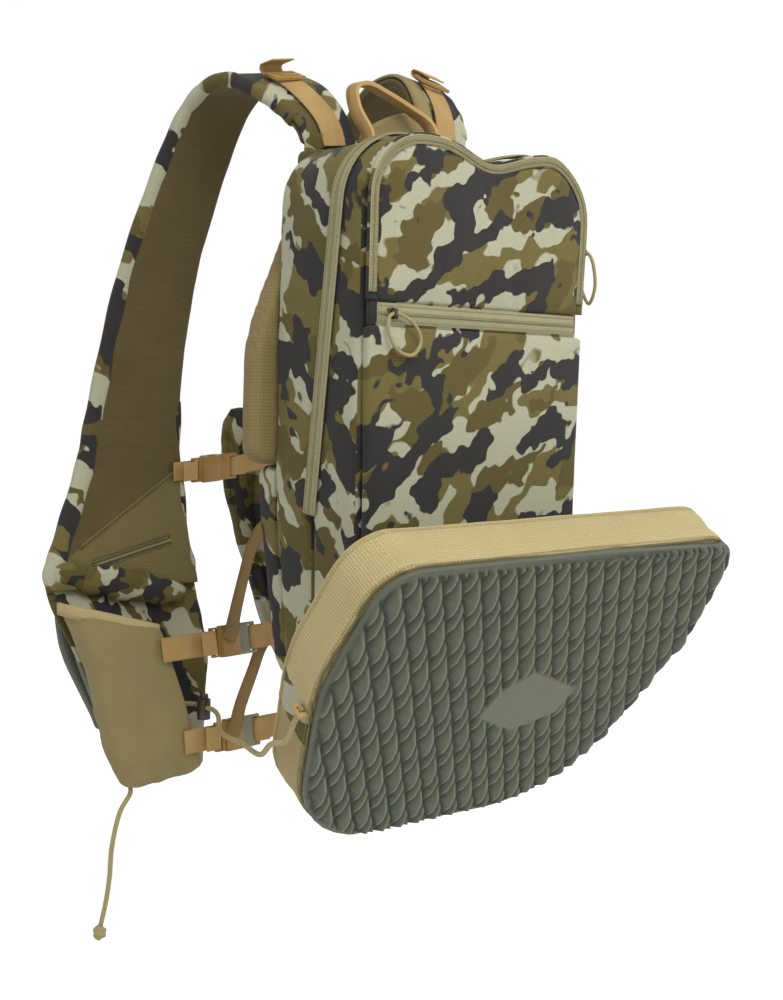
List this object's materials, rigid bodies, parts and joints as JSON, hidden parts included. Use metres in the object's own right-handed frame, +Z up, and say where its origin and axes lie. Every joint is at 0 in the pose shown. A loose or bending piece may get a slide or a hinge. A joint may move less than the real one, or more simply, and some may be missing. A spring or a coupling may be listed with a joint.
{
  "type": "hunting vest pack with fold-out seat",
  "caption": "Slim daypack on wide vest straps with open pouches, front closures, zipped pockets, a haul loop and a padded seat that folds out from its base.",
  "frame": {"origin": "centre of the back pad's flat contact face", "axes": "+Y out of the back pad towards the wearer, +Z up, +X to the right as seen from the front pocket side"},
  "size_m": [0.4603, 0.5787, 0.8741],
  "materials": {
    "camo_cloth": null,
    "tan_mesh": "tan spacer mesh over foam",
    "brown_lining": "brown knitted lining",
    "tan_stretch_cloth": "tan stretch cloth",
    "zip_tape": "pale khaki woven tape",
    "tan_webbing": "tan woven webbing",
    "brown_webbing": "brown woven webbing",
    "tan_plastic": "moulded, satin",
    "dark_plastic": "moulded, satin",
    "moulded_foam": "closed-cell foam, matt",
    "pale_cord": "braided cord",
    "dark_metal": "dark coated metal",
    "stiffener_sheet": "plain sheet",
    "spring_steel": "drawn wire"
  },
  "bodies": {
    "pack": {"arch_zip_tape": "zip_tape", "back_pad": "tan_mesh", "back_stiffener": "stiffener_sheet", "call_pocket_left": "moulded_foam", "call_pocket_right": "moulded_foam", "cord_lock_body": "dark_plastic", "cord_lock_spring": "spring_steel", "front_bag": "camo_cloth", "haul_loop": "tan_webbing", "hip_female": "tan_plastic", "hip_tail": "brown_webbing", "hip_web_left": "tan_webbing", "hip_web_right": "tan_webbing", "lifter_buckle_left": "tan_plastic", "lifter_buckle_right": "tan_plastic", "lifter_webbing_left": "tan_webbing", "lifter_webbing_right": "tan_webbing", "lower_pocket": "camo_cloth", "lumbar_pad": "camo_cloth", "main_bag": "camo_cloth", "main_zip_tape": "zip_tape", "outer_pocket_left": "camo_cloth", "outer_pocket_right": "camo_cloth", "pouch_cord": "pale_cord", "pouch_cord_knot": "pale_cord", "pouch_left": "tan_stretch_cloth", "pouch_right": "tan_stretch_cloth", "seat_cord": "pale_cord", "seat_hinge_rod": "dark_metal", "slash_zip_tape": "zip_tape", "sternum_female": "tan_plastic", "sternum_web_left": "tan_webbing", "sternum_web_right": "tan_webbing", "strap_lining_left": "brown_lining", "strap_lining_right": "brown_lining", "strap_shell_left": "camo_cloth", "strap_shell_right": "camo_cloth", "upper_pocket": "camo_cloth", "vest_panel_left": "camo_cloth", "vest_panel_right": "camo_cloth", "waist_female": "tan_plastic", "waist_tail": "brown_webbing", "waist_web_left": "tan_webbing", "waist_web_right": "tan_webbing", "yoke": "brown_lining"},
    "seat": {"seat_cushion": "tan_mesh", "seat_base": "moulded_foam", "seat_hinge_loop_left": "tan_webbing", "seat_hinge_loop_right": "tan_webbing", "seat_cord_tab": "pale_cord"},
    "slash_slider": {"slash_zip_slider": "dark_metal"},
    "slash_pull": {"slash_zip_pull": "pale_cord"},
    "arch_slider": {"arch_zip_slider": "dark_metal"},
    "arch_pull": {"arch_zip_pull": "pale_cord"},
    "main_slider": {"main_zip_slider": "dark_metal"},
    "main_pull": {"main_zip_pull": "pale_cord"},
    "lock_button": {"cord_lock_button": "dark_plastic"},
    "sternum_tongue": {"sternum_male": "tan_plastic"},
    "waist_tongue": {"waist_male": "tan_plastic"},
    "hip_tongue": {"hip_male": "tan_plastic"}
  },
  "joints": [
    {"name": "seat_fold", "type": "hinge", "parent": "pack", "child": "seat", "pos_m": [0, -0.1525, -0.2595], "axis": [1, 0, 0], "range_deg": [-32, 28], "deforming": ["seat_cord"]},
    {"name": "slash_zip_slide", "type": "slide", "parent": "pack", "child": "slash_slider", "axis": [1, 0, 0], "range_m": [0, 0.205]},
    {"name": "slash_pull_swing", "type": "hinge", "parent": "slash_slider", "child": "slash_pull", "pos_m": [-0.103, -0.1589, 0.013], "axis": [-1, 0, 0], "range_deg": [0, 70]},
    {"name": "arch_zip_slide", "type": "slide", "parent": "pack", "child": "arch_slider", "axis": [0, 0, 1], "range_m": [0, 0.018]},
    {"name": "arch_pull_swing", "type": "hinge", "parent": "arch_slider", "child": "arch_pull", "pos_m": [0.1356, -0.1499, 0.082], "axis": [0, -1, 0], "range_deg": [0, 60]},
    {"name": "main_zip_slide", "type": "slide", "parent": "pack", "child": "main_slider", "axis": [0, -0.1103, 0.9939], "range_m": [0, 0.225]},
    {"name": "main_pull_swing", "type": "hinge", "parent": "main_slider", "child": "main_pull", "pos_m": [0.1386, -0.0867, -0.148], "axis": [0, -1, 0], "range_deg": [0, 60]},
    {"name": "cord_lock_press", "type": "slide", "parent": "pack", "child": "lock_button", "axis": [0, 0, -1], "range_m": [0, 0.0016], "stiffness_N_per_m": 600, "springref_m": -0.001, "deforming": ["cord_lock_spring"]},
    {"name": "sternum_release", "type": "slide", "parent": "pack", "child": "sternum_tongue", "axis": [0.9956, -0.011, 0.093], "range_m": [0, 0.024], "deforming": ["sternum_web_right"]},
    {"name": "waist_release", "type": "slide", "parent": "pack", "child": "waist_tongue", "axis": [0.9989, 0.002, 0.046], "range_m": [0, 0.024], "deforming": ["waist_web_right"]},
    {"name": "hip_release", "type": "slide", "parent": "pack", "child": "hip_tongue", "axis": [0.9988, 0, 0.049], "range_m": [0, 0.024], "deforming": ["hip_web_right"]}
  ]
}
